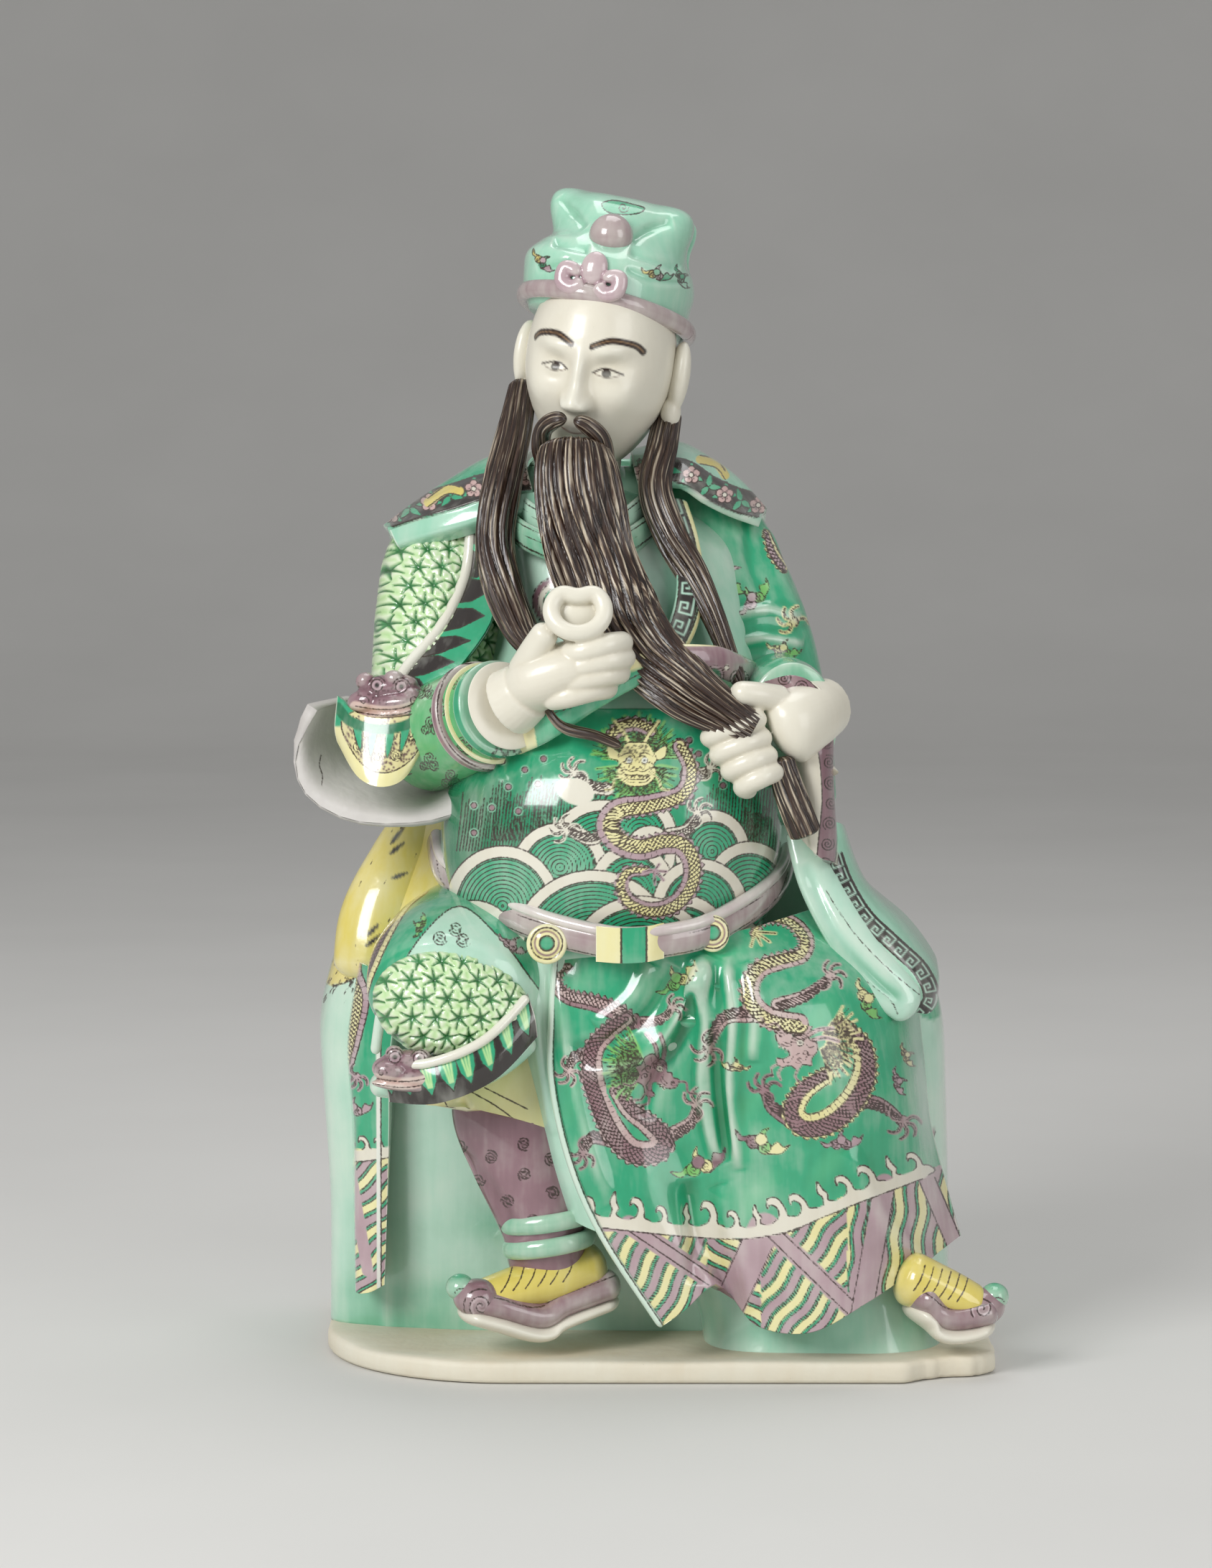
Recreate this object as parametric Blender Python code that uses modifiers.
"""Seated porcelain figure in robes on a slab base, press-moulded and fired as one hollow piece.

Lengths are millimetres until the mesh is made. +X is the viewer's right, +Y the back, +Z up.
Heights of the figure are counted from the top of the base slab.
"""

import math

import bmesh
import bpy
import numpy as np
from mathutils import Euler, Matrix, Vector

MM = 0.001

# Base slab
BASE_LEFT, BASE_RIGHT = -136.0, 138.5
BASE_FRONT, BASE_BACK = -94.5, 88.0
BASE_THICKNESS = 9.0
PLAN_CENTRE_X, PLAN_CENTRE_Y = -1.94, -14.77
BASE_EDGE_ROUND = 2.5
FRONT_LEFT_ROUND = 75.0
CORNER_ROUND = 24.0
BREAK_LENGTH, BREAK_DEPTH = 38.0, 38.0
BREAK_SHAPE = [(1.0, 0.0), (0.85, 0.13), (0.58, 0.28), (0.2, 0.37), (0.03, 0.56), (0.0, 1.0)]

# Hollow that the mould leaves inside
HOLLOW_LEFT, HOLLOW_RIGHT = -110.0, 96.0
HOLLOW_FRONT, HOLLOW_BACK = -20.0, 66.0
HOLLOW_HEIGHT = 165.0
HOLLOW_TOP_SHARE = 0.62
HOLLOW_SQUARENESS = 4.0

# Seat and body
SEAT_LEFT, SEAT_RIGHT = -141.0, 124.0
SEAT_FRONT, SEAT_BACK = -36.0, 82.0
SEAT_HEIGHT = 125.0
WAIST_HEIGHT = 182.0
SHOULDER_HEIGHT = 325.0
SINK = 4.0

# Cloth, belt and hair
CLOTH = 5.0
CAPE_CLOTH = 4.0
THICK_CLOTH = 8.0
BELT_HALF_HEIGHT, BELT_HALF_THICKNESS = 6.8, 4.2
PIPING = 2.2

# Places of the joints of the limbs
NECK = (-32.0, -14.0, 345.0)
HEAD = (-22.0, -22.0, 400.0)
HAT = (-19.5, -10.0, 420.0)
SHOULDER_R = (-81.0, -2.0, 318.0)
ELBOW_R = (-95.0, -36.0, 245.0)
CUFF_R = (-64.0, -80.0, 261.0)
SHOULDER_L = (14.0, 4.0, 328.0)
ELBOW_L = (41.0, -14.0, 258.0)
PALM_L = (47.0, -84.0, 251.0)
KNEE_R = (-84.0, -92.0, 145.0)
TOE_R = (-78.0, -86.0, 24.0)
TOE_L = (138.0, -75.0, 18.0)
RIGHT_SOLE_DIP, LEFT_SOLE_DIP = 18.0, 15.0
SOLE_CLEARANCE = 2.0
HEAD_HALF_WIDTH = 30.5
HEAD_HALF_DEPTH = 37.0
HEAD_HALF_HEIGHT = 45.0
HEAD_TURN = (12.0, 8.0, -13.0)
HAT_TURN = (-11.0, 11.0, -14.0)

# Fineness of the finished skin
VOXEL = 1.5
SKIN_TRIANGLES = 11100
FINE_PLACES = [
    ((-30.0, -56.0, 388.0), 36.0),
    ((-30.0, -106.0, 288.0), 26.0),
    ((34.0, -92.0, 250.0), 26.0),
    ((-20.0, -40.0, 445.0), 24.0),
]
FINE_SHARE = 0.55
FINE_WEIGHT = 1.0


def shares(count, samples, closed):
    """Catmull-Rom weights that carry count control points to samples points."""
    spans = count if closed else count - 1
    t = np.linspace(0.0, spans, samples)
    first = np.minimum(t.astype(int), spans - 1)
    f = t - first
    terms = (
        (-1, -0.5 * f + f**2 - 0.5 * f**3),
        (0, 1.0 - 2.5 * f**2 + 1.5 * f**3),
        (1, 0.5 * f + 2.0 * f**2 - 1.5 * f**3),
        (2, -0.5 * f**2 + 0.5 * f**3),
    )
    weights = np.zeros((samples, count))
    for shift, value in terms:
        at = (first + shift) % count if closed else np.clip(first + shift, 0, count - 1)
        np.add.at(weights, (np.arange(samples), at), value)
    return weights


def skin(net, around, along, closed=False):
    """Smooth surface through a net of points, as rows of points; a closed row repeats its first point."""
    net = np.asarray(net, float)
    down = shares(len(net), along + 1, False)
    across = shares(net.shape[1], around + 1, closed)
    return np.einsum("ri,sj,ijk->rsk", down, across, net)


def grid_mesh(rows, closed=False, capped=True):
    """A bmesh grid laid on rows of points, its seam welded and its ends filled."""
    along, around = rows.shape[0] - 1, rows.shape[1] - 1
    bm = bmesh.new()
    bmesh.ops.create_grid(bm, x_segments=around, y_segments=along, size=0.5)
    for vert in bm.verts:
        across = round((vert.co.x + 0.5) * around)
        down = round((vert.co.y + 0.5) * along)
        vert.co = Vector(rows[down, across] * MM)
    if closed:
        bmesh.ops.remove_doubles(bm, verts=bm.verts, dist=1e-6)
        if capped:
            open_edges = [edge for edge in bm.edges if edge.is_boundary]
            bmesh.ops.holes_fill(bm, edges=open_edges, sides=0)
    bmesh.ops.recalc_face_normals(bm, faces=bm.faces)
    return bm


def settled(obj):
    """The object's evaluated mesh, with the object itself removed."""
    graph = bpy.context.evaluated_depsgraph_get()
    mesh = bpy.data.meshes.new_from_object(obj.evaluated_get(graph))
    bpy.data.objects.remove(obj)
    return mesh


def keep_outer_skin(mesh):
    """Drops the small pockets that stay shut inside the clay."""
    bm = bmesh.new()
    bm.from_mesh(mesh)
    shells, seen = [], set()
    for first in bm.verts:
        if first in seen:
            continue
        seen.add(first)
        shell, edge_of_search = [first], [first]
        while edge_of_search:
            vert = edge_of_search.pop()
            for edge in vert.link_edges:
                other = edge.other_vert(vert)
                if other not in seen:
                    seen.add(other)
                    shell.append(other)
                    edge_of_search.append(other)
        shells.append(shell)
    shells.sort(key=len)
    bmesh.ops.delete(bm, geom=[vert for shell in shells[:-1] for vert in shell], context="VERTS")
    bm.to_mesh(mesh)
    bm.free()


def placed(name, mesh, collection):
    obj = bpy.data.objects.new(name, mesh)
    collection.objects.link(obj)
    return obj


class Clay:
    """Gathers closed forms that overlap and become one skin."""

    def __init__(self):
        self.bm = bmesh.new()

    def add(self, bm, matrix=None):
        mesh = bpy.data.meshes.new("form")
        if matrix is not None:
            bm.transform(matrix)
        bm.to_mesh(mesh)
        bm.free()
        self.bm.from_mesh(mesh)
        bpy.data.meshes.remove(mesh)

    def stack(self, levels, around=48, along=24, ripple=None):
        """A body through level outlines: (height, left, right, front, back, squareness)."""
        self.add(grid_mesh(stack_rows(levels, around, along, ripple), closed=True))

    def tube(self, stations, around=20, along=20, up=(0, 0, 1), ends=(0.0, 0.0), groove=None):
        """A limb through stations: (x, y, z, half width, half height)."""
        self.add(grid_mesh(tube_rows(stations, around, along, up, ends, groove), closed=True))

    def sheet(self, net, around, along, thickness=CLOTH):
        """Cloth through a net of points, thickened away from the viewer."""
        self.add(sheet_mesh(net, around, along, thickness))

    def ball(self, centre, radii, turn=(0, 0, 0), matrix=None):
        bm = bmesh.new()
        bmesh.ops.create_uvsphere(bm, u_segments=24, v_segments=14, radius=1.0)
        place = Matrix.Translation(Vector(centre) * MM)
        place = place @ Euler([math.radians(a) for a in turn]).to_matrix().to_4x4()
        place = place @ Matrix.Diagonal([r * MM for r in radii] + [1.0])
        self.add(bm, place if matrix is None else matrix @ place)


def stack_rows(levels, around, along, ripple=None):
    levels = np.asarray(levels, float)
    smooth = shares(len(levels), along + 1, False) @ levels
    angle = np.linspace(0.0, 2.0 * math.pi, around + 1)
    rows = np.zeros((along + 1, around + 1, 3))
    for down, (z, left, right, front, back, square) in enumerate(smooth):
        c, s = np.cos(angle), np.sin(angle)
        rows[down, :, 0] = (left + right) / 2 + (right - left) / 2 * np.sign(c) * np.abs(c) ** (2 / square)
        rows[down, :, 1] = (front + back) / 2 + (back - front) / 2 * np.sign(s) * np.abs(s) ** (2 / square)
        rows[down, :, 2] = z
        if ripple is not None:
            push = ripple(angle, z)
            rows[down, :, 0] += push * c
            rows[down, :, 1] += push * s
    return rows


def tube_rows(stations, around, along, up, ends, groove=None):
    stations = np.asarray(stations, float)
    smooth = shares(len(stations), along + 1, False) @ stations
    path = smooth[:, :3]
    tangent = np.gradient(path, axis=0)
    tangent /= np.linalg.norm(tangent, axis=1)[:, None]
    side = np.cross(tangent, np.asarray(up, float))
    side /= np.linalg.norm(side, axis=1)[:, None]
    over = np.cross(side, tangent)
    run = np.concatenate([[0.0], np.cumsum(np.linalg.norm(np.diff(path, axis=0), axis=1))])
    shrink = np.ones(len(run))
    for length, gone in ((ends[0], run), (ends[1], run[-1] - run)):
        if length > 0:
            left = np.clip(1.0 - gone / length, 0.0, 0.985)
            shrink *= np.sqrt(1.0 - left**2)
    angle = np.linspace(0.0, 2.0 * math.pi, around + 1)
    swell = np.ones(around + 1) if groove is None else 1.0 + groove(angle)
    wide = (smooth[:, 3] * shrink)[:, None, None] * (np.cos(angle) * swell)[None, :, None]
    high = (smooth[:, 4] * shrink)[:, None, None] * (np.sin(angle) * swell)[None, :, None]
    return path[:, None, :] + wide * side[:, None, :] + high * over[:, None, :]


def sheet_mesh(net, around, along, thickness):
    bm = grid_mesh(skin(net, around, along))
    mesh = bpy.data.meshes.new("sheet")
    bm.to_mesh(mesh)
    bm.free()
    if sum(face.normal.y * face.area for face in mesh.polygons) > 0:
        mesh.flip_normals()
    obj = placed("sheet", mesh, bpy.context.scene.collection)
    shell = obj.modifiers.new("cloth", "SOLIDIFY")
    shell.thickness = thickness * MM
    shell.offset = -1.0
    thick = settled(obj)
    bm = bmesh.new()
    bm.from_mesh(thick)
    bpy.data.meshes.remove(thick)
    return bm


def toward(start, end, share):
    return tuple(a + (b - a) * share for a, b in zip(start, end))


def shifted(point, x=0.0, y=0.0, z=0.0):
    return (point[0] + x, point[1] + y, point[2] + z)


# Seat and robe


def seat_folds(angle, z):
    """Soft hanging folds over the sides and back of the seat."""
    fade = min(1.0, max(0.0, (SEAT_HEIGHT - z) / SEAT_HEIGHT + 0.15))
    return 1.6 * fade * np.cos(9.0 * angle) * (np.sin(angle) > -0.75)


def add_seat(clay):
    clay.stack(
        [
            (-SINK, SEAT_LEFT + 4, SEAT_RIGHT, SEAT_FRONT + 2, SEAT_BACK, 4.0),
            (50, SEAT_LEFT + 4, SEAT_RIGHT, SEAT_FRONT + 1, SEAT_BACK + 1, 4.0),
            (100, SEAT_LEFT + 1, SEAT_RIGHT - 1, SEAT_FRONT, SEAT_BACK, 4.0),
            (SEAT_HEIGHT, SEAT_LEFT, SEAT_RIGHT - 2, SEAT_FRONT, SEAT_BACK - 2, 3.6),
            (SEAT_HEIGHT + 20, SEAT_LEFT + 4, SEAT_RIGHT - 7, SEAT_FRONT + 2, SEAT_BACK - 6, 3.2),
            (SEAT_HEIGHT + 38, SEAT_LEFT + 11, SEAT_RIGHT - 18, SEAT_FRONT + 4, SEAT_BACK - 12, 2.8),
            (WAIST_HEIGHT, SEAT_LEFT + 27, SEAT_RIGHT - 43, SEAT_FRONT + 6, SEAT_BACK - 20, 2.6),
            (WAIST_HEIGHT + 14, SEAT_LEFT + 37, SEAT_RIGHT - 52, SEAT_FRONT + 8, SEAT_BACK - 26, 2.5),
            (WAIST_HEIGHT + 34, SEAT_LEFT + 44, SEAT_RIGHT - 60, SEAT_FRONT + 16, SEAT_BACK - 30, 2.4),
            (WAIST_HEIGHT + 53, SEAT_LEFT + 62, SEAT_RIGHT - 72, SEAT_FRONT + 26, SEAT_BACK - 34, 2.3),
        ],
        around=72,
        along=36,
        ripple=seat_folds,
    )


def add_torso(clay):
    low, high = WAIST_HEIGHT, SHOULDER_HEIGHT
    clay.stack(
        [
            (low - 24, -76, 42, -88, 45, 2.4),
            (low - 4, -86, 48, -94, 46, 2.4),
            (low + 20, -88, 52, -98, 46, 2.4),
            (low + 44, -86, 52, -98, 47, 2.4),
            (low + 68, -80, 50, -88, 47, 2.4),
            (high - 46, -78, 45, -68, 47, 2.4),
            (high - 20, -82, 40, -55, 46, 2.5),
            (high, -86, 34, -46, 42, 2.5),
            (high + 13, -72, 18, -38, 34, 2.4),
            (high + 22, -54, -6, -32, 22, 2.2),
            (high + 29, -48, -16, -30, 8, 2.0),
        ],
        around=56,
        along=34,
    )


# Belt places, their heights counted from the waist
BELT_LINE = [
    (-90, -20, 19),
    (-86, -44, 11),
    (-71, -68, 3),
    (-53, -86, -4),
    (-34, -96, -9),
    (-14, -101, -12),
    (4, -99, -11),
    (21, -90, -8),
    (39, -72, 0),
    (50, -50, 7),
    (55, -24, 14),
]
BELT_BOSSES = [((-43, -97, -9), (7.6, 4, 7.6)), ((25, -90, -7.5), (6.6, 4, 7))]
BELT_BUCKLE = ((-9, -104, -11.5), (13.5, 4, 7.4))


def add_belt(clay):
    line = [shifted(point, z=WAIST_HEIGHT) + (BELT_HALF_THICKNESS, BELT_HALF_HEIGHT) for point in BELT_LINE]
    clay.tube(line, around=12, along=40)
    roll = [shifted(point[:3], 0, -2.5, 4.6) + (PIPING, PIPING) for point in line]
    clay.tube(roll, around=8, along=40)
    for centre, radii in (*BELT_BOSSES, BELT_BUCKLE):
        clay.ball(shifted(centre, z=WAIST_HEIGHT), radii)


LAP_ROBE = [
    [(-40, -84, 172), (-30, -87, 171), (-17, -89, 170), (-2, -90, 170), (15, -89, 171),
     (34, -83, 173), (55, -66, 177), (76, -40, 182), (92, -8, 186)],
    [(-42, -90, 140), (-30, -93, 142), (-14, -93, 143), (4, -92, 144), (24, -97, 145),
     (48, -101, 147), (72, -90, 150), (94, -62, 154), (105, -22, 158)],
    [(-42, -92, 114), (-28, -95, 116), (-10, -92, 118), (8, -87, 118), (28, -95, 118),
     (54, -104, 118), (78, -97, 118), (100, -72, 118), (111, -30, 118)],
    [(-35, -94, 82), (-22, -96, 84), (-6, -92, 86), (12, -85, 88), (32, -92, 88),
     (57, -100, 88), (82, -95, 88), (104, -72, 88), (114, -34, 88)],
    [(-22, -96, 52), (-8, -98, 53), (6, -95, 54), (20, -86, 55), (36, -91, 55),
     (60, -97, 56), (84, -93, 58), (106, -72, 60), (121, -40, 60)],
    [(2, -97, 15), (12, -96, 22), (23, -91, 31), (30, -82, 25), (41, -91, 14),
     (62, -98, 13), (85, -92, 24), (105, -72, 33), (126, -44, 42)],
]


KNEE_LINING = [
    [(-70, -58, 184), (-58, -76, 178), (-47, -84, 174), (-36, -86, 172)],
    [(-60, -70, 156), (-52, -85, 152), (-45, -88, 150), (-37, -89, 148)],
    [(-55, -70, 120), (-48, -85, 118), (-43, -88, 116), (-37, -90, 114)],
    [(-50, -68, 84), (-42, -84, 82), (-37, -90, 80), (-31, -94, 78)],
    [(-40, -70, 58), (-33, -86, 56), (-27, -92, 54), (-20, -96, 52)],
]
UNDER_ROBE = [
    (-SINK, 20, 118, -78, -10, 2.8),
    (18, 17, 114, -76, -10, 2.8),
    (50, 0, 112, -84, -10, 2.8),
    (90, -26, 110, -90, -10, 2.8),
    (125, -36, 104, -94, -10, 2.8),
    (150, -40, 88, -88, -10, 2.6),
    (170, -44, 66, -80, -10, 2.5),
]


def add_lap(clay):
    """The robe that falls over the lap, its rolled edge and the lining beside the knee."""
    clay.sheet(LAP_ROBE, around=40, along=30)
    clay.stack(UNDER_ROBE, around=36, along=20)
    edge = [shifted(row[0], -0.5, -0.5) + (PIPING, 3.2) for row in LAP_ROBE]
    clay.tube(edge, around=10, along=40, up=(0, 1, 0), ends=(3, 3))
    clay.sheet(KNEE_LINING, around=12, along=20)


# Collar, cape, lapel and sash on the upper body


COLLAR_LINES = [
    [(-60, -20, 346), (-50, -42, 337), (-34, -52, 331), (-17, -51, 333), (-5, -38, 341), (0, -20, 348)],
    [(-64, -24, 338), (-52, -48, 329), (-34, -57, 323), (-16, -56, 325), (-2, -42, 333), (6, -24, 341)],
]
LAPEL_LINE = [(6, -34, 340), (14, -46, 326), (18, -56, 308), (17, -66, 292), (10, -78, 279)]
SASH_LINE = [
    (-60, -76, 247),
    (-45, -91, 255),
    (-26, -96, 268),
    (-2, -91, 280),
    (20, -82, 281),
    (32, -70, 277),
    (40, -44, 272),
]
CAPE_LEFT_SIDE = [
    [(-50, -34, 348), (-68, -36, 345), (-84, -33, 340), (-98, -27, 336), (-110, -18, 332)],
    [(-53, -18, 360), (-70, -20, 354), (-86, -18, 347), (-100, -13, 340), (-112, -8, 332)],
    [(-50, 4, 363), (-68, 5, 361), (-84, 5, 352), (-99, 4, 342), (-112, 2, 332)],
    [(-52, 30, 352), (-70, 34, 345), (-86, 33, 336), (-99, 28, 328), (-109, 20, 322)],
]
CAPE_RIGHT_SIDE = [
    [(-7, -34, 350), (10, -38, 351), (22, -37, 344), (33, -32, 339), (44, -22, 336)],
    [(-9, -18, 358), (11, -22, 361), (24, -21, 354), (35, -17, 346), (45, -10, 337)],
    [(-10, 6, 364), (9, 8, 367), (24, 8, 360), (36, 7, 351), (47, 5, 339)],
    [(-10, 30, 354), (9, 36, 350), (24, 36, 341), (36, 31, 332), (45, 24, 322)],
]
CAPE_BACK = [
    [(-54, 26, 352), (-40, 34, 356), (-25, 38, 358), (-9, 36, 358), (0, 28, 354)],
    [(-84, 32, 332), (-56, 44, 334), (-25, 49, 334), (8, 46, 334), (33, 34, 334)],
    [(-106, 26, 308), (-64, 48, 306), (-25, 54, 304), (14, 50, 306), (48, 26, 312)],
]


def add_collar(clay):
    for line in COLLAR_LINES:
        clay.tube([(*point, 3.2, 4.6) for point in line], around=12, along=28)
    lapel = [(*point, 7.5, 3.0) for point in LAPEL_LINE]
    clay.tube(lapel, around=12, along=20, up=(0.4, -1, 0.3), ends=(3, 3))
    clay.tube([(*point, 4.5, 5.5) for point in SASH_LINE], around=12, along=28, ends=(4, 4))
    for net in (CAPE_LEFT_SIDE, CAPE_RIGHT_SIDE, CAPE_BACK):
        clay.sheet(net, around=18, along=14, thickness=CAPE_CLOTH)


LAP_FOLDS = [
    [(16, -91, 164, 3, 4), (20, -94, 140, 4, 5), (17, -90, 110, 4, 5), (21, -88, 78, 4, 4)],
    [(8, -92, 164, 3, 4), (-2, -96, 142, 4, 5), (-16, -97, 124, 4, 5), (-30, -96, 114, 3, 4)],
    [(32, -90, 164, 3, 3), (34, -97, 142, 4, 5), (32, -93, 108, 4, 4), (33, -90, 80, 3, 4)],
    [(-32, -90, 158, 3, 3), (-22, -95, 130, 3, 4), (-12, -95, 100, 3, 4), (12, -96, 44, 3, 4)],
]


def add_lap_folds(clay):
    for line in LAP_FOLDS:
        clay.tube(line, around=12, along=20, up=(0, -1, 0), ends=(8, 10))


# Right leg, with its knee guard


# Hem of the trouser over the boot, counted from the top of the shin
TROUSER_HEM = [
    [(-30, 8, 24), (-12, -4, 22), (8, -6, 22), (30, -2, 20), (40, 4, 19)],
    [(-36, 6, 8), (-14, -10, 8), (8, -11, 6), (30, -6, 0), (40, 2, -4)],
    [(-33, 4, 0), (-12, -13, 1), (8, -13, -4), (30, -8, -12), (41, 0, -15)],
]


def add_right_leg(clay):
    x, y, z = KNEE_R
    clay.tube(
        [
            (x + 26, y + 96, z + 14, 40, 28),
            (x + 16, y + 58, z + 14, 42, 31),
            (x + 6, y + 26, z + 8, 39, 31),
            (x + 1, y + 4, z, 33, 27),
            (x - 1, y - 6, z - 5, 27, 20),
        ],
        around=28,
        along=20,
        ends=(0, 16),
    )
    clay.ball((x + 3, y - 5, z - 1), (32, 15, 22), turn=(0, 12, 0))
    piping = [
        (x - 26, y - 12, z - 22),
        (x - 6, y - 21, z - 21),
        (x + 16, y - 20, z - 12),
        (x + 33, y - 10, z + 4),
    ]
    clay.tube([(*point, PIPING, PIPING) for point in piping], around=10, along=20, ends=(2, 2))
    lappets = [[shifted(point, 1.3 * drop, -1, 1 - 8 * drop) for point in piping] for drop in range(3)]
    clay.sheet(lappets, around=18, along=6)
    clay.tube(
        [
            (x - 30, y - 2, z - 32, 7, 5),
            (x - 4, y - 6, z - 33, 11, 5),
            (x + 18, y - 2, z - 26, 10, 5),
            (x + 34, y + 6, z - 14, 7, 5),
        ],
        around=14,
        along=14,
        ends=(5, 5),
    )
    add_beast(clay, (x - 15, y - 14, z - 26), turn=(0, 6, 8), size=1.0)
    shin_top = (x + 24, y + 20, z - 45)
    shin_low = (x + 38, y + 18, z - 92)
    clay.sheet([[shifted(shin_top, *step) for step in row] for row in TROUSER_HEM], around=16, along=10)
    clay.tube(
        [
            (*shifted(shin_top, 2, 6, 8), 24, 15),
            (*shifted(shin_top, 2, 2, -4), 24, 15),
            (*toward(shin_top, shin_low, 0.45), 21, 14),
            (*shin_low, 17, 13),
            (*shifted(shin_low, 2, 2, -14), 16, 12),
            (*shifted(shin_low, 4, 4, -26), 15, 11),
        ],
        around=22,
        along=20,
        up=(0, 1, 0),
        ends=(6, 8),
    )
    for drop in (2, -8):
        clay.ball(shifted(shin_low, 3, 0, drop), (20.5, 16.5, 4), turn=(0, -8, 0))
    add_boot(clay, TOE_R, heel=shifted(TOE_R, 58, 20, 6), sole_dip=RIGHT_SOLE_DIP)


def add_boot(clay, toe, heel, sole_dip):
    """Upturned boot: a rounded upper on a thick paddle sole."""
    middle = toward(heel, toe, 0.5)
    clay.tube(
        [
            (*shifted(heel, 0, 0, 4), 11, 12),
            (*shifted(middle, 0, 0, 1), 12, 10),
            (*toward(heel, toe, 0.8), 11, 9),
            (*shifted(toe, 0, 0, 1), 8, 7.5),
        ],
        around=18,
        along=16,
        ends=(8, 7),
    )
    flat = max(middle[2] - sole_dip, SOLE_CLEARANCE)
    near_heel = shifted(toward(heel, toe, 0.32), 0, 0, -15 if sole_dip > 15 else -12)
    sole = [
        (*shifted(heel, 5, -2, -9), 11, 3.4),
        (*near_heel, 13, 3.8),
        (middle[0], middle[1], flat, 13.5, 4.0),
        (*shifted(toward(heel, toe, 0.78), 0, 0, -11), 13, 4.0),
        (*shifted(toe, -1, 0, -5), 11, 3.6),
    ]
    clay.tube(sole, around=16, along=18, ends=(6, 6))
    welt = [shifted(station[:3], 0.5, -0.5, 6) + (12.4, 4.6) for station in sole[:-1]]
    welt.append(shifted(toe, 0, 0, 0.5) + (9.5, 5.0))
    clay.tube(welt, around=16, along=18, ends=(6, 5))
    clay.ball(shifted(toe, -0.5, 0, 5), (6, 7, 5.5))


def add_beast(clay, centre, turn, size):
    """Small beast mask that holds the edge of the armour."""
    frame = Matrix.Translation(Vector(centre) * MM)
    frame = frame @ Euler([math.radians(a) for a in turn]).to_matrix().to_4x4()
    frame = frame @ Matrix.Scale(size, 4)
    for spot, radii in (
        ((0, 0, 0), (14, 7, 7)),
        ((2, -2, 5), (11, 6, 5)),
        ((-10, -3, 6), (4.5, 4, 4)),
        ((6, -6, 6), (4, 3.5, 3.5)),
        ((-3, -7, 4), (4, 3.5, 3.5)),
        ((0, -3, -4), (13, 5.5, 4)),
    ):
        clay.ball(spot, radii, matrix=frame)


# Hanging cloth at the figure's right side


SIDE_PANEL = [
    [(-122, 2, 152), (-122, -22, 152), (-114, -36, 152), (-102, -44, 154)],
    [(-128, -8, 120), (-126, -33, 120), (-118, -43, 120), (-108, -46, 120)],
    [(-126, -18, 85), (-123, -39, 85), (-116, -44, 85), (-109, -45, 85)],
    [(-125, -22, 50), (-123, -41, 50), (-116, -46, 50), (-110, -46, 50)],
    [(-124, -24, 20), (-123, -43, 18), (-117, -48, 19), (-111, -47, 22)],
]


def add_side_cloth(clay):
    clay.sheet(SIDE_PANEL, around=12, along=24, thickness=THICK_CLOTH + 1)
    clay.tube(
        [
            (-90, 12, 214, 14, 11),
            (-103, 4, 190, 17, 13),
            (-113, -4, 166, 19, 14),
            (-117, -10, 140, 17, 13),
        ],
        around=16,
        along=16,
        up=(0, 1, 0),
        ends=(8, 10),
    )


# Right arm


# Broad grey sleeve piece and the small flap over it, counted from the elbow
GREY_SLEEVE = [
    [(-27, 22, 17), (-28, 22, 4), (-24, 20, -8), (-16, 18, -14),
     (-3, 14, -16), (9, 10, -13), (14, 6, -4)],
    [(-39, -8, 15), (-45, -8, -1), (-40, -10, -15), (-24, -15, -23),
     (-4, -18, -25), (13, -20, -20), (20, -20, -6)],
    [(-42, -16, 14), (-51, -12, -4), (-47, -14, -20), (-29, -20, -30),
     (-4, -24, -31), (15, -26, -26), (25, -26, -13)],
]
ARM_FLAP = [
    [(-34, -14, 16), (-26, -26, 8), (-14, -32, 6), (0, -32, 9), (6, -24, 16)],
    [(-35, -18, 8), (-26, -33, -4), (-14, -38, -7), (-2, -36, -3), (5, -28, 9)],
    [(-34, -20, 2), (-25, -35, -11), (-15, -40, -15), (-5, -37, -11), (4, -30, 5)],
]


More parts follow.
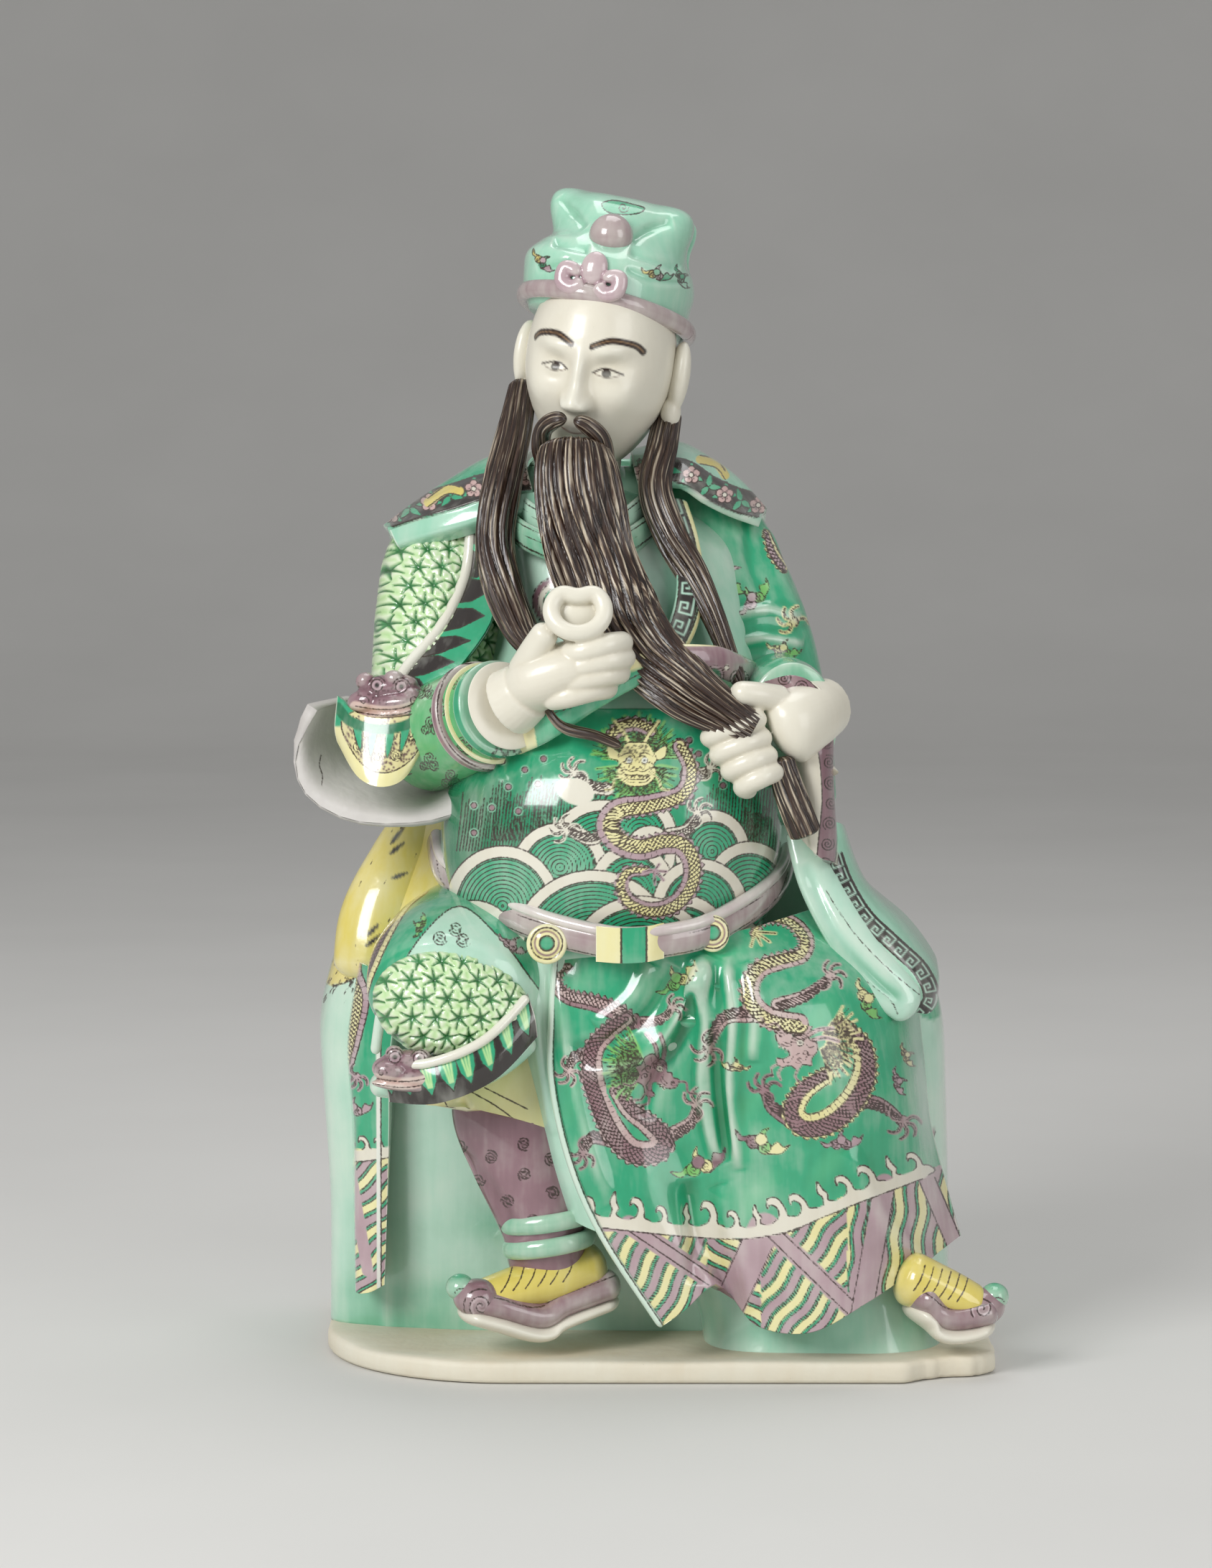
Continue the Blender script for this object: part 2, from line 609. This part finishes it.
def add_right_arm(clay):
    clay.tube(
        [
            (*shifted(SHOULDER_R, 26, 4, 10), 21, 20),
            (*SHOULDER_R, 28, 27),
            (*toward(SHOULDER_R, ELBOW_R, 0.3), 30, 29),
            (*toward(SHOULDER_R, ELBOW_R, 0.62), 27, 28),
            (*shifted(toward(SHOULDER_R, ELBOW_R, 0.9), 0, -2, 0), 24, 25),
        ],
        around=28,
        along=22,
        up=(0, 1, 0),
        ends=(10, 8),
    )
    clay.tube(
        [
            (*shifted(ELBOW_R, -3, 8, -3), 20, 21),
            (*toward(ELBOW_R, CUFF_R, 0.3), 22, 22),
            (*toward(ELBOW_R, CUFF_R, 0.7), 21, 21),
            (*CUFF_R, 18.5, 18.5),
        ],
        around=26,
        along=16,
        ends=(14, 0),
    )
    reach = Vector(CUFF_R) - Vector(ELBOW_R)
    reach.normalize()
    for gap, radius in ((-8.0, 20.6), (-4.0, 20.2), (0.5, 18.8), (5.0, 17.6)):
        spot = Vector(CUFF_R) + reach * gap
        ends = [tuple(spot - reach * 2.6), tuple(spot + reach * 2.6)]
        ring = [(*end, radius, radius) for end in ends]
        clay.tube(ring, around=24, along=4, ends=(1.6, 1.6))
    x, y, z = ELBOW_R
    add_beast(clay, (x - 15, y - 19, z + 19), turn=(0, -10, -24), size=1.0)
    clay.sheet([[shifted(ELBOW_R, *step) for step in row] for row in GREY_SLEEVE], around=24, along=12)
    clay.sheet([[shifted(ELBOW_R, *step) for step in row] for row in ARM_FLAP], around=18, along=8)


ARMOUR_PIPING = [(-74, -27, 330), (-71, -31, 310), (-74, -36, 290), (-83, -44, 273), (-96, -54, 262)]
LAPPET_TIPS = [(-66, -31, 327), (-62, -40, 308), (-62, -49, 288), (-72, -57, 270), (-86, -62, 256)]


def add_armour_edges(clay):
    """The cord along the edge of the arm's armour and the leather tongues beside it."""
    clay.tube([(*point, PIPING, PIPING) for point in ARMOUR_PIPING], around=10, along=20, ends=(3, 3))
    middle = [shifted(toward(tip, root, 0.5), 1, -3) for tip, root in zip(LAPPET_TIPS, ARMOUR_PIPING)]
    clay.sheet([LAPPET_TIPS, middle, ARMOUR_PIPING], around=20, along=6)


RING_RADII = (11.0, 8.0)
RING_NOTCH = 3.4


def add_right_hand(clay):
    """Fist that holds a heart-shaped ring between thumb and fingers."""
    x, y, z = CUFF_R
    for line, ends in (
        ([(4, -5, 4, 14, 14), (9, -10, 8, 14, 13.5), (14, -13, 11, 12, 12)], (2, 2)),
        ([(8, -9, 7, 11, 10), (18, -15, 13, 14, 12), (30, -16, 18, 15, 11), (39, -14, 20, 12, 9)], (3, 9)),
        ([(11, -14, 15, 7, 7), (16, -21, 25, 6, 6), (22, -26, 35, 5.2, 5.2)], (3, 4)),
    ):
        clay.tube([(*shifted(CUFF_R, *step[:3]), *step[3:]) for step in line], around=18, along=12, ends=ends)
    for finger, (left, right, rise) in enumerate(((27, 50, 26), (26, 51, 20), (24, 49, 14), (20, 44, 8))):
        back = y + finger
        line = [
            (x + left, back - 22, z + rise - 2.5, 4.6, 4.6),
            (x + left + 8, back - 27, z + rise - 1, 5, 4.7),
            (x + right - 6, back - 26, z + rise + 1.5, 5, 4.7),
            (x + right, back - 19, z + rise + 2, 4.8, 4.6),
            (x + right - 3, back - 10, z + rise + 1, 4.4, 4.4),
        ]
        clay.tube(line, around=12, along=16, ends=(4, 4))
    ring = Vector((x + 33, y - 27, z + 41))
    lean = Euler((math.radians(-24), 0, 0)).to_matrix()
    circle = []
    for step in range(17):
        angle = 2 * math.pi * step / 16
        notch = RING_NOTCH * max(0.0, math.cos(angle - math.pi / 2)) ** 8
        spot = lean @ Vector((RING_RADII[0] * math.cos(angle), 0.0, RING_RADII[1] * math.sin(angle) - notch))
        circle.append((*(ring + spot), 3.5, 3.1))
    clay.tube(circle, around=12, along=44, up=(0, 1, 0.4))
    clay.ball(shifted(ring, 0, 6.5, -4), (12, 5, 9))


# Left arm, which gathers the beard


# Mouth of the sleeve round the hand, counted from the palm
SLEEVE_MOUTH = [
    [(-4, 10, 21), (8, 4, 24), (19, 4, 18), (24, 10, 4), (24, 18, -12)],
    [(4, 10, -4), (12, 2, -6), (20, 3, -9), (24, 12, -14), (25, 24, -24)],
    [(6, 12, -26), (13, 4, -28), (20, 4, -32), (25, 14, -38), (27, 28, -44)],
    [(11, 13, -42), (15, 6, -46), (20, 7, -50), (25, 16, -52), (28, 30, -56)],
]


def add_left_arm(clay):
    x, y, z = PALM_L
    clay.tube(
        [
            (*shifted(SHOULDER_L, -22, 4, 6), 22, 21),
            (*SHOULDER_L, 28.5, 26),
            (*shifted(toward(SHOULDER_L, ELBOW_L, 0.35), 3, 0, 0), 31, 29),
            (*shifted(toward(SHOULDER_L, ELBOW_L, 0.7), 3, 0, 0), 31, 31),
            (*shifted(ELBOW_L, 1, 2, -4), 30, 32),
            (*shifted(ELBOW_L, 4, 6, -26), 30, 34),
            (*shifted(ELBOW_L, 5, 10, -48), 30, 36),
        ],
        around=30,
        along=28,
        up=(0, 1, 0),
        ends=(10, 12),
    )
    clay.tube(
        [
            (*shifted(ELBOW_L, 4, 2, 0), 26, 26),
            (x + 3, y + 42, z + 3, 21, 27),
            (x + 6, y + 24, z + 4, 20, 26),
            (x + 8, y + 10, z + 4, 18, 24),
        ],
        around=26,
        along=14,
        ends=(0, 3),
    )
    mouth = [[shifted(PALM_L, *step) for step in row] for row in SLEEVE_MOUTH]
    clay.sheet(mouth, around=18, along=22, thickness=6.0)


FINGERS_L = [
    ((-5, 8), (-25, 0.5)),
    ((-3, 0.5), (-21.5, -6.5)),
    ((-1, -6.5), (-17, -13)),
    ((1, -13), (-12, -19.5)),
]


def add_left_hand(clay):
    """Fist that gathers the beard, its four fingers stacked and the thumb above them."""
    x, y, z = PALM_L
    palm = [
        (x + 22, y + 24, z + 10, 11, 12),
        (x + 14, y + 10, z + 7, 13, 14),
        (x + 6, y + 1, z + 3, 13, 15),
        (x - 1, y - 1, z - 1, 10, 14),
    ]
    clay.tube(palm, around=20, along=14, ends=(0, 8))
    thumb = [
        (x + 4, y + 1, z + 14, 6.5, 6),
        (x - 8, y - 7, z + 17, 6, 5.2),
        (x - 18, y - 10, z + 18, 5.2, 4.8),
    ]
    clay.tube(thumb, around=12, along=10, ends=(3, 5))
    for root, tip in FINGERS_L:
        start = (x + root[0], y - 4, z + root[1])
        end = (x + tip[0], y - 9, z + tip[1])
        bend = shifted(toward(start, end, 0.5), 0, -5, 1)
        hook = shifted(end, 3, 7, -2)
        finger = [(*start, 5.6, 4.6), (*bend, 5.2, 4.5), (*end, 4.8, 4.2), (*hook, 4.0, 3.8)]
        clay.tube(finger, around=12, along=14, ends=(4, 4))


CUFF_BAND = [
    [(54, -58, 216), (63, -54, 218), (70, -36, 214), (72, -10, 208)],
    [(60, -62, 192), (72, -58, 190), (78, -40, 188), (80, -12, 186)],
    [(76, -70, 166), (89, -64, 168), (97, -46, 170), (99, -18, 170)],
    [(94, -72, 148), (106, -66, 146), (111, -48, 150), (112, -24, 154)],
    [(104, -68, 140), (111, -62, 138), (114, -48, 142), (114, -30, 146)],
]


CUFF_ROLL = [
    (56, -60, 206, 7, 6),
    (66, -66, 186, 8, 7),
    (80, -72, 164, 8.5, 7),
    (96, -74, 147, 8.5, 7),
    (107, -70, 139, 7, 6),
]


def add_left_cloth(clay):
    """The long sleeve end that lies over the lap, with its rolled edge."""
    clay.sheet(CUFF_BAND, around=14, along=20, thickness=THICK_CLOTH)
    clay.tube(CUFF_ROLL, around=14, along=18, ends=(5, 6))


# Head


def head_frame():
    turn = Euler([math.radians(a) for a in HEAD_TURN]).to_matrix().to_4x4()
    return Matrix.Translation(Vector(HEAD) * MM) @ turn


def swell(points, centre, spread, height):
    """Smooth rise of the given height round a direction on the head."""
    gap = (points - np.asarray(centre, float)) / np.asarray(spread, float)
    return height * np.exp(-np.sum(gap**2, axis=1))


def face_relief(p):
    """Outward rise, in millimetres, over a head of unit half sizes; the face looks along -Y.

    Brow, nose base and chin are a third of the face apart, and the eyes are one eye's width apart.
    """
    rise = swell(p, (0.0, -1.0, 0.03), (0.10, 0.5, 0.22), 4.5)
    rise += swell(p, (0.0, -1.0, -0.17), (0.13, 0.5, 0.10), 8.0)
    rise += swell(p, (0.0, -0.9, -0.46), (0.24, 0.5, 0.10), 3.2)
    rise += swell(p, (0.0, -0.6, -0.84), (0.26, 0.5, 0.20), 4.5)
    rise -= swell(p, (0.0, -0.9, -0.62), (0.22, 0.5, 0.06), 1.4)
    for side in (-1.0, 1.0):
        rise += swell(p, (side * 0.13, -1.0, -0.20), (0.075, 0.5, 0.065), 4.2)
        rise += swell(p, (side * 0.36, -0.9, 0.27), (0.24, 0.5, 0.08), 2.6)
        rise += swell(p, (side * 0.56, -0.8, -0.12), (0.24, 0.5, 0.20), 2.6)
        rise -= swell(p, (side * 0.36, -0.93, 0.09), (0.22, 0.5, 0.11), 4.0)
        rise += swell(p, (side * 0.38, -0.92, 0.07), (0.155, 0.5, 0.065), 3.2)
    return rise


def add_head(clay):
    frame = head_frame()
    bm = bmesh.new()
    bmesh.ops.create_uvsphere(bm, u_segments=64, v_segments=44, radius=1.0)
    unit = np.array([vert.co for vert in bm.verts])
    rise = face_relief(unit)
    jaw = 1.0 - 0.20 * np.clip(-unit[:, 2], 0.0, 1.0) ** 1.6
    half = np.array([HEAD_HALF_WIDTH, HEAD_HALF_DEPTH, HEAD_HALF_HEIGHT])
    for vert, direction, lift, narrow in zip(bm.verts, unit, rise, jaw):
        size = half * np.array([narrow, 1.0, 1.0]) + lift
        vert.co = Vector(direction * size * MM)
    clay.add(bm, frame)
    for side in (-1.0, 1.0):
        ear = (side * (HEAD_HALF_WIDTH + 1.5), 4, -3)
        clay.ball(ear, (4.5, 8, 15), turn=(-8, side * 6, side * 22), matrix=frame)
        clay.ball((side * (HEAD_HALF_WIDTH + 0.5), 0, -17), (4.2, 5, 6.5), matrix=frame)
    neck = [(*shifted(NECK, 0, 6, -16), 22, 22), (*NECK, 17.5, 19), (*shifted(NECK, 2, 0, 22), 17, 20)]
    clay.tube(neck, around=22, along=10, up=(0, 1, 0))


def hat_frame():
    turn = Euler([math.radians(a) for a in HAT_TURN]).to_matrix().to_4x4()
    return Matrix.Translation(Vector(HAT) * MM) @ turn


HAT_LEVELS = [
    (-6, -31, 30, -38, 38, 2.2),
    (0, -34, 32, -43, 40, 2.2),
    (8, -36, 32.5, -44, 41, 2.2),
    (15, -36.5, 32.5, -42.5, 41, 2.3),
    (21, -33, 30.5, -37, 39, 2.3),
    (26, -28.5, 27.5, -32, 36, 2.3),
    (32, -29.5, 26.5, -29, 34, 2.3),
    (39, -32, 27, -25, 33, 2.4),
    (44.5, -31.5, 25.5, -19, 31, 2.6),
    (48.5, -27, 20.5, -11, 27, 2.8),
    (50.5, -16, 11, -3, 18, 3.0),
]
HAT_CROWN = 30.0
HAT_DIP = 2.6
HAT_BAND = (34.5, 43.0)
HAT_BALL = ((2.0, -31.0, 26.0), 9.1)
HAT_SCROLL = [(2.5, 3), (7, 0), (11.5, 2), (11.5, 7), (8, 7), (7.5, 4.5)]


def add_hat(clay):
    """Soft cap: a low tier that grips the head and a crown that dips between two lobes."""
    frame = hat_frame()
    points = stack_rows(HAT_LEVELS, 64, 40, hat_folds)
    lift = np.clip((points[:, :, 2] - HAT_CROWN) / 20.0, 0.0, 1.0)
    across = (points[:, :, 0] + 2.5) / 29.0
    points[:, :, 2] -= HAT_DIP * lift * np.clip(1.0 - across**2, 0.0, 1.0)
    clay.add(grid_mesh(points, closed=True), frame)
    band = []
    for step in range(17):
        angle = 2 * math.pi * step / 16
        band.append((HAT_BAND[0] * math.cos(angle), -0.5 + HAT_BAND[1] * math.sin(angle), -1.0, 3.0, 3.8))
    clay.add(grid_mesh(tube_rows(band, 12, 64, (0, 0, 1), (0, 0)), closed=True), frame)
    centre, radius = HAT_BALL
    clay.ball(centre, (radius, radius, radius), matrix=frame)
    clay.ball((1.5, -43.5, 8.5), (4.6, 3.6, 6.5), matrix=frame)
    for side in (-1.0, 1.0):
        scroll = [(1.5 + side * x, -44.5, z, 2.6, 2.6) for x, z in HAT_SCROLL]
        clay.add(grid_mesh(tube_rows(scroll, 10, 20, (0, 1, 0), (2, 2)), closed=True), frame)


def hat_folds(angle, z):
    """Folds that run out from the ball over the crown."""
    rise = min(1.0, max(0.0, (z - 22.0) / 12.0))
    return 1.8 * rise * np.cos(5.0 * (angle + math.pi / 2)) * (np.sin(angle) < 0.2)


# Beard and hair


def strands(count, depth):
    return lambda angle: depth * np.cos(count * angle)


BEARD_LINE = [
    (-33, -56, 368, 12, 8), (-32, -61, 358, 16, 9.5), (-30, -65, 342, 17.5, 10), (-26, -68, 322, 17.5, 10.5),
    (-17, -74, 302, 17, 10.5), (-4, -82, 284, 14, 10), (12, -90, 270, 12, 9), (26, -94, 261, 9, 7),
    (38, -94, 254, 7, 5),
]
LOCK_RIGHT_SIDE = [
    (-54, -14, 392, 5, 5), (-57, -26, 374, 6.5, 5), (-62, -38, 351, 7.5, 6.5), (-65, -47, 327, 7.5, 6.5),
    (-61, -56, 307, 7.5, 6), (-54, -67, 292, 6.5, 5.5), (-47, -78, 283, 4, 4),
]
LOCK_LEFT_SIDE = [
    (6, -16, 380, 5, 5), (3, -30, 366, 6, 5), (0, -41, 348, 6.5, 6), (6, -49, 330, 6.5, 6),
    (15, -55, 314, 6, 5.5), (23, -62, 298, 4.5, 5), (30, -68, 280, 3.5, 4), (34, -72, 270, 3, 3),
]
LOOSE_STRAND = [
    (-44, -88, 272, 2.4, 2.4), (-42, -92, 262, 2.4, 2.4), (-36, -95, 255, 2.4, 2.4),
    (-24, -98, 252, 2.2, 2.2), (-14, -99, 248, 1.9, 1.9),
]


# One half of the moustache, in the head's own frame
MOUSTACHE = [
    (1.5, -45, -14.5, 2.2, 2.2),
    (7, -43.5, -16.5, 3.4, 3.0),
    (12, -39.5, -22, 3.6, 3.2),
    (13.5, -35, -31, 3.6, 3.4),
    (12, -32, -39, 3.0, 3.0),
]


def add_hair(clay):
    """Beard gathered in the left hand, the moustache, side locks and one loose strand."""
    clay.tube(BEARD_LINE, around=72, along=48, up=(0.35, -1, 0.2), ends=(5, 0), groove=strands(12, 0.07))
    x, y, z = PALM_L
    clay.tube([(x + 2, y - 4, z - 8, 5, 5), (x + 6, y - 4, z - 22, 6, 5), (x + 13, y - 2, z - 40, 6, 5)],
              around=30, along=14, up=(0, -1, 0), ends=(2, 2), groove=strands(7, 0.08))
    for line in (LOCK_RIGHT_SIDE, LOCK_LEFT_SIDE):
        clay.tube(line, around=42, along=40, up=(0, -1, 0.3), ends=(4, 5), groove=strands(8, 0.08))
    clay.tube(LOOSE_STRAND, around=12, along=24, ends=(1, 3))
    frame = head_frame()
    for side in (-1.0, 1.0):
        drop = [(side * x, *rest) for x, *rest in MOUSTACHE]
        rows = tube_rows(drop, 24, 28, (0, -1, 0.2), (3, 3), strands(6, 0.10))
        clay.add(grid_mesh(rows, closed=True), frame)


# Base and hollow


def base_outline():
    """Plan of the slab: a wide round at the front left, small rounds behind, a broken front right corner."""
    points = []
    for centre_x, centre_y, radius, start in (
        (BASE_RIGHT - CORNER_ROUND, BASE_BACK - CORNER_ROUND, CORNER_ROUND, 0),
        (BASE_LEFT + CORNER_ROUND, BASE_BACK - CORNER_ROUND, CORNER_ROUND, 90),
        (BASE_LEFT + FRONT_LEFT_ROUND, BASE_FRONT + FRONT_LEFT_ROUND, FRONT_LEFT_ROUND, 180),
    ):
        for step in range(9):
            angle = math.radians(start + 90 * step / 8)
            points.append((centre_x + radius * math.cos(angle), centre_y + radius * math.sin(angle)))
    for along, deep in BREAK_SHAPE:
        points.append((BASE_RIGHT - BREAK_LENGTH * along, BASE_FRONT + BREAK_DEPTH * deep))
    return points


def base_mesh():
    bm = bmesh.new()
    ring = [bm.verts.new((x * MM, y * MM, 0.0)) for x, y in base_outline()]
    face = bm.faces.new(ring)
    raised = bmesh.ops.extrude_face_region(bm, geom=[face])["geom"]
    top = [item for item in raised if isinstance(item, bmesh.types.BMVert)]
    bmesh.ops.translate(bm, verts=top, vec=(0, 0, BASE_THICKNESS * MM))
    bmesh.ops.recalc_face_normals(bm, faces=bm.faces)
    rim = [edge for edge in bm.edges if all(vert in top for vert in edge.verts)]
    bmesh.ops.bevel(bm, geom=rim, offset=BASE_EDGE_ROUND * MM, segments=2, affect="EDGES", profile=0.5)
    mesh = bpy.data.meshes.new("base")
    bm.to_mesh(mesh)
    bm.free()
    return mesh


def hollow_mesh():
    """Tapered hollow, open through the underside."""
    middle_x = (HOLLOW_LEFT + HOLLOW_RIGHT) / 2
    middle_y = (HOLLOW_FRONT + HOLLOW_BACK) / 2
    rows = []
    for share in (-0.08, 0.0, 0.3, 0.6, 0.85, 1.0):
        narrow = 1.0 - (1.0 - HOLLOW_TOP_SHARE) * max(0.0, share) ** 2
        half_x = (HOLLOW_RIGHT - HOLLOW_LEFT) / 2 * narrow
        half_y = (HOLLOW_BACK - HOLLOW_FRONT) / 2 * narrow
        sides = (middle_x - half_x, middle_x + half_x, middle_y - half_y, middle_y + half_y)
        rows.append((share * HOLLOW_HEIGHT, *sides, HOLLOW_SQUARENESS))
    bm = grid_mesh(stack_rows(rows, 32, 8), closed=True)
    mesh = bpy.data.meshes.new("hollow")
    bm.to_mesh(mesh)
    bm.free()
    return mesh


def glaze_material():
    material = bpy.data.materials.new("enamelled_porcelain")
    material.use_nodes = True
    shader = material.node_tree.nodes["Principled BSDF"]
    shader.inputs["Base Color"].default_value = (0.22, 0.55, 0.36, 1.0)
    shader.inputs["Roughness"].default_value = 0.18
    shader.inputs["Metallic"].default_value = 0.0
    return material


def main():
    for obj in list(bpy.data.objects):
        bpy.data.objects.remove(obj)
    parts = bpy.data.collections.new("porcelain_figure")
    cutters = bpy.data.collections.new("cutters")
    bpy.context.scene.collection.children.link(parts)
    bpy.context.scene.collection.children.link(cutters)
    middle = Vector((-PLAN_CENTRE_X, -PLAN_CENTRE_Y, 0.0)) * MM
    clay = Clay()
    add_seat(clay)
    add_torso(clay)
    add_belt(clay)
    add_collar(clay)
    add_lap(clay)
    add_lap_folds(clay)
    add_right_leg(clay)
    add_boot(clay, TOE_L, heel=shifted(TOE_L, -41, -3, 11), sole_dip=LEFT_SOLE_DIP)
    add_side_cloth(clay)
    add_right_arm(clay)
    add_armour_edges(clay)
    add_right_hand(clay)
    add_left_arm(clay)
    add_left_hand(clay)
    add_left_cloth(clay)
    add_head(clay)
    add_hat(clay)
    add_hair(clay)
    bmesh.ops.translate(clay.bm, verts=clay.bm.verts, vec=(0, 0, BASE_THICKNESS * MM))
    mesh = bpy.data.meshes.new("figure")
    clay.bm.to_mesh(mesh)
    clay.bm.free()
    rough = placed("rough", mesh, parts)
    fused = rough.modifiers.new("fused", "REMESH")
    fused.mode = "VOXEL"
    fused.voxel_size = VOXEL * MM
    mesh = settled(rough)
    keep_outer_skin(mesh)
    mesh.calc_loop_triangles()
    count = len(mesh.loop_triangles)
    figure = placed("figure", mesh, parts)
    figure.location = middle
    coarse = figure.vertex_groups.new(name="coarse")
    coarse.add(range(len(mesh.vertices)), 1.0, "REPLACE")
    for centre, reach in FINE_PLACES:
        centre = Vector(shifted(centre, z=BASE_THICKNESS)) * MM
        near = [vert.index for vert in mesh.vertices if (vert.co - centre).length < reach * MM]
        coarse.add(near, FINE_SHARE, "REPLACE")
    figure.data.materials.append(glaze_material())
    thinned = figure.modifiers.new("thinned", "DECIMATE")
    thinned.ratio = SKIN_TRIANGLES / count
    thinned.vertex_group = coarse.name
    thinned.vertex_group_factor = FINE_WEIGHT
    for name, cutter_mesh, how in (("base", base_mesh(), "UNION"), ("hollow", hollow_mesh(), "DIFFERENCE")):
        tool = placed(name, cutter_mesh, cutters)
        tool.location = middle
        tool.hide_render = True
        tool.display_type = "WIRE"
        cut = figure.modifiers.new(name, "BOOLEAN")
        cut.operation = how
        cut.object = tool
    figure.data.shade_smooth()


main()
